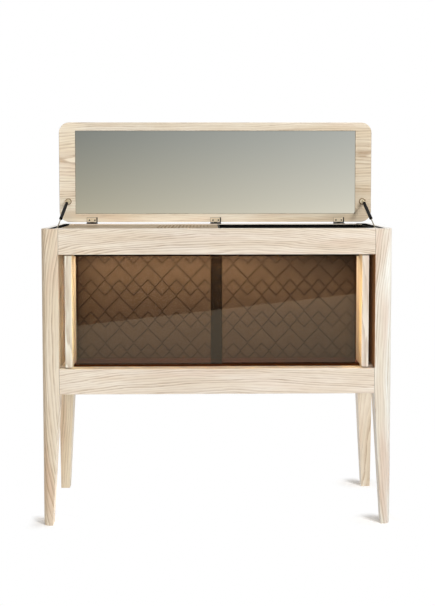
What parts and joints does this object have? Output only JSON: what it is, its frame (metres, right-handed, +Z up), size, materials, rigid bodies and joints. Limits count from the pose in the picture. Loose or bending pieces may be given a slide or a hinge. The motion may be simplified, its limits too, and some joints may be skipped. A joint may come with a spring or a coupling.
{
  "type": "bar cabinet",
  "caption": "Ash bar cabinet on tapered legs with a lit display case behind sliding bronze glass and a mirrored lid that folds up on gas struts.",
  "frame": {"origin": "on the floor, under the middle of the box that holds the cabinet with its lid open", "axes": "+X to the right seen from the front, +Y from front to back, +Z up"},
  "size_m": [1.2, 0.4082, 1.4131],
  "materials": {
    "ash": "pale ash, open grain, matt oil",
    "tray_wood": "ash a shade darker, matt oil",
    "mirror": "silvered glass, bevelled edge",
    "bronze_glass": "bronze tinted, polished",
    "dark_track": "dark bronze anodised",
    "brass": "pale satin brass",
    "screws": "burnished brass-plated steel",
    "strut_tube": "black satin lacquer",
    "bright_rod": "polished",
    "bracket": "nickel plated",
    "black_liner": "black matt lacquer",
    "case_back": "tan leather pressed with a lattice",
    "case_floor": "reddish brown leather",
    "light_channel": "anodised",
    "diffuser": "opal, lit warm white"
  },
  "bodies": {
    "cabinet": {"back_bottom_rail": "ash", "back_top_rail": "ash", "bar_well_liner": "black_liner", "bottle_well_liner": "black_liner", "bottom_board": "ash", "case_side_left": "ash", "case_side_right": "ash", "display_back": "case_back", "display_floor": "case_floor", "front_bottom_rail": "ash", "front_top_rail": "ash", "glass_track_bottom": "dark_track", "glass_track_top": "dark_track", "hinge_pin_centre": "brass", "hinge_pin_left": "brass", "hinge_pin_right": "brass", "hinge_rail_leaf_centre": "brass", "hinge_rail_leaf_left": "brass", "hinge_rail_leaf_right": "brass", "leg_back_left": "ash", "leg_back_right": "ash", "leg_front_left": "ash", "leg_front_right": "ash", "light_channel": "light_channel", "light_diffuser": "diffuser", "rail_hinge_screws": "screws", "rail_light_diffuser": "diffuser", "rear_panel": "ash", "side_bottom_rail_left": "ash", "side_bottom_rail_right": "ash", "side_lining_left": "ash", "side_lining_right": "ash", "side_panel_left": "ash", "side_panel_right": "ash", "side_top_rail_left": "ash", "side_top_rail_right": "ash", "strut_side_bracket_left": "bracket", "strut_side_bracket_right": "bracket", "tray_board": "tray_wood", "well_divider": "ash", "well_floor": "ash", "well_side_left": "ash"},
    "lid": {"hinge_lid_leaf_centre": "brass", "hinge_lid_leaf_left": "brass", "hinge_lid_leaf_right": "brass", "lid_hinge_screws": "screws", "lid_mirror": "mirror", "lid_panel": "ash", "strut_lid_bracket_left": "bracket", "strut_lid_bracket_right": "bracket"},
    "left_pane": {"left_glass_pane": "bronze_glass"},
    "right_pane": {"right_glass_pane": "bronze_glass"},
    "left_strut_rod": {"strut_rod_left": "bright_rod"},
    "right_strut_rod": {"strut_rod_right": "bright_rod"},
    "left_strut_tube": {"strut_tube_left": "strut_tube"},
    "right_strut_tube": {"strut_tube_right": "strut_tube"}
  },
  "joints": [
    {"name": "lid_hinge", "type": "hinge", "parent": "cabinet", "child": "lid", "pos_m": [0, 0.18293, 1.02615], "axis": [1, 0, 0], "range_deg": [0, 90]},
    {"name": "left_pane_slide", "type": "slide", "parent": "cabinet", "child": "left_pane", "axis": [1, 0, 0], "range_m": [-0.0075, 0.4779]},
    {"name": "right_pane_slide", "type": "slide", "parent": "cabinet", "child": "right_pane", "axis": [1, 0, 0], "range_m": [-0.4734, 0.012]},
    {"name": "left_strut_pivot", "type": "hinge", "parent": "cabinet", "child": "left_strut_rod", "pos_m": [-0.567, -0.08207, 1.012], "axis": [1, 0, 0], "range_deg": [-22.44, 0]},
    {"name": "left_strut_slide", "type": "slide", "parent": "left_strut_rod", "child": "left_strut_tube", "axis": [0, 0.9299, 0.3678], "range_m": [-0.08585, 0]},
    {"name": "right_strut_pivot", "type": "hinge", "parent": "cabinet", "child": "right_strut_rod", "pos_m": [0.567, -0.08207, 1.012], "axis": [1, 0, 0], "range_deg": [-22.44, 0]},
    {"name": "right_strut_slide", "type": "slide", "parent": "right_strut_rod", "child": "right_strut_tube", "axis": [0, 0.9299, 0.3678], "range_m": [-0.08585, 0]}
  ],
  "couplings": [
    {"joint": "left_strut_pivot", "follows": "lid_hinge", "ratio": -0.24928},
    {"joint": "left_strut_slide", "follows": "lid_hinge", "m_per_rad": -0.054644},
    {"joint": "right_strut_pivot", "follows": "lid_hinge", "ratio": -0.24928},
    {"joint": "right_strut_slide", "follows": "lid_hinge", "m_per_rad": -0.054644}
  ]
}
